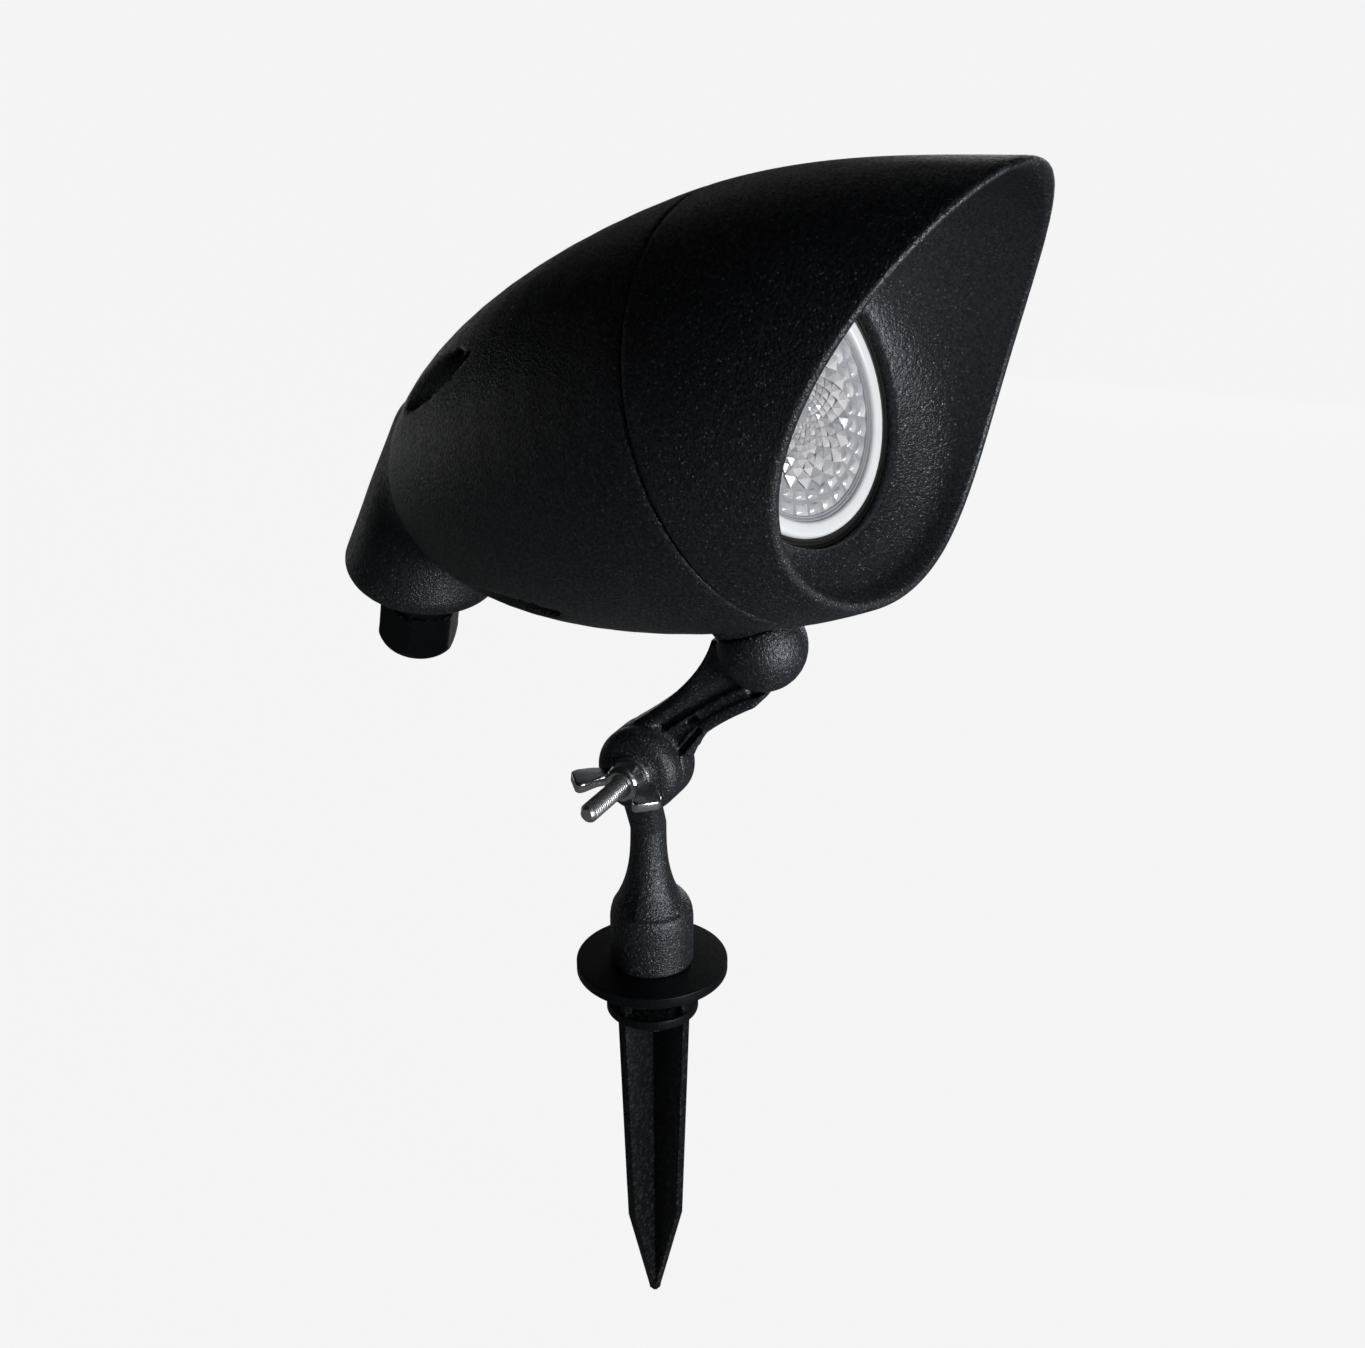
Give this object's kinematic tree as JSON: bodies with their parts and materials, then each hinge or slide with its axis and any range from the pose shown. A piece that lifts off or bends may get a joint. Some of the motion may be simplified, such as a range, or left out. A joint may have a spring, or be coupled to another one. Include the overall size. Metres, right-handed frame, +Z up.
{
  "type": "garden spike spotlight",
  "caption": "Projector light with a bullet-shaped housing and slanted hood around a 50 mm reflector lamp, on a two-piece wing-nut bracket and ground stake.",
  "frame": {"origin": "centre of the stake in the ground face, under the round flange", "axes": "+Z up along the stake, +X along the hinge bolt away from the wing nut, beam towards -Y and upwards"},
  "size_m": [0.091, 0.1669, 0.2708],
  "materials": {
    "black_sand": "sand-textured moulded black",
    "black_satin": "smooth satin black",
    "zinc": "bright zinc plate",
    "rubber": "matte",
    "white_rim": "gloss white",
    "lens": "clear prismatic",
    "phosphor": "yellow phosphor",
    "circuit": "green circuit board",
    "ceramic": "glazed ceramic",
    "brass": "bright brass",
    "nylon": "natural nylon",
    "lead_brown": "silicone sleeve",
    "lead_blue": "silicone sleeve"
  },
  "bodies": {
    "stake": {"ground_stake": "black_satin"},
    "lower_arm_body": {"lower_arm": "black_sand", "hinge_washer": "zinc"},
    "upper_arm_body": {"upper_arm": "black_sand", "hinge_bolt": "zinc", "pivot_screw": "zinc", "pivot_washer": "zinc", "pivot_seal": "rubber"},
    "wing_nut_body": {"wing_nut": "zinc"},
    "head": {"rear_housing": "black_sand", "front_hood": "black_sand", "hood_gasket": "rubber", "housing_screws": "zinc", "lamp_seal": "rubber", "lamp_holder": "ceramic", "holder_contacts": "brass", "holder_bracket": "zinc", "bracket_screws": "zinc", "terminal_block": "nylon", "terminal_screws": "brass", "lead_live": "lead_brown", "lead_neutral": "lead_blue", "gland_body": "black_satin", "gland_oring": "rubber", "gland_seal": "rubber", "gland_locknut": "zinc"},
    "lamp": {"lamp_rim": "white_rim", "lamp_lens": "lens", "lamp_body": "white_rim", "led_board": "white_rim", "led_chips": "phosphor", "lamp_driver": "circuit", "lamp_base": "white_rim", "lamp_pins": "zinc"},
    "gland_nut_body": {"gland_nut": "black_satin"}
  },
  "joints": [
    {"name": "stake_swivel", "type": "hinge", "parent": "stake", "child": "lower_arm_body", "pos_m": [0, 0, 0], "axis": [0, 0, 1], "range_deg": [-175, 175]},
    {"name": "elbow", "type": "hinge", "parent": "lower_arm_body", "child": "upper_arm_body", "pos_m": [0, 0, 0.0512], "axis": [1, 0, 0], "range_deg": [-30, 65]},
    {"name": "head_swivel", "type": "hinge", "parent": "upper_arm_body", "child": "head", "pos_m": [0, -0.0255, 0.08084], "axis": [0, 0.3469, 0.9379], "range_deg": [-75, 104]},
    {"name": "wing_nut_turn", "type": "hinge", "parent": "upper_arm_body", "child": "wing_nut_body", "pos_m": [0, 0, 0.0512], "axis": [1, 0, 0], "continuous": true},
    {"name": "gland_nut_turn", "type": "hinge", "parent": "head", "child": "gland_nut_body", "pos_m": [0.02384, 0.07146, 0.07729], "axis": [0.1472, 0.253, -0.9562], "continuous": true},
    {"name": "lamp_twist", "type": "hinge", "parent": "head", "child": "lamp", "pos_m": [-0.00593, -0.03092, 0.13232], "axis": [-0.2504, -0.908, 0.3359], "range_deg": [0, 20]}
  ]
}
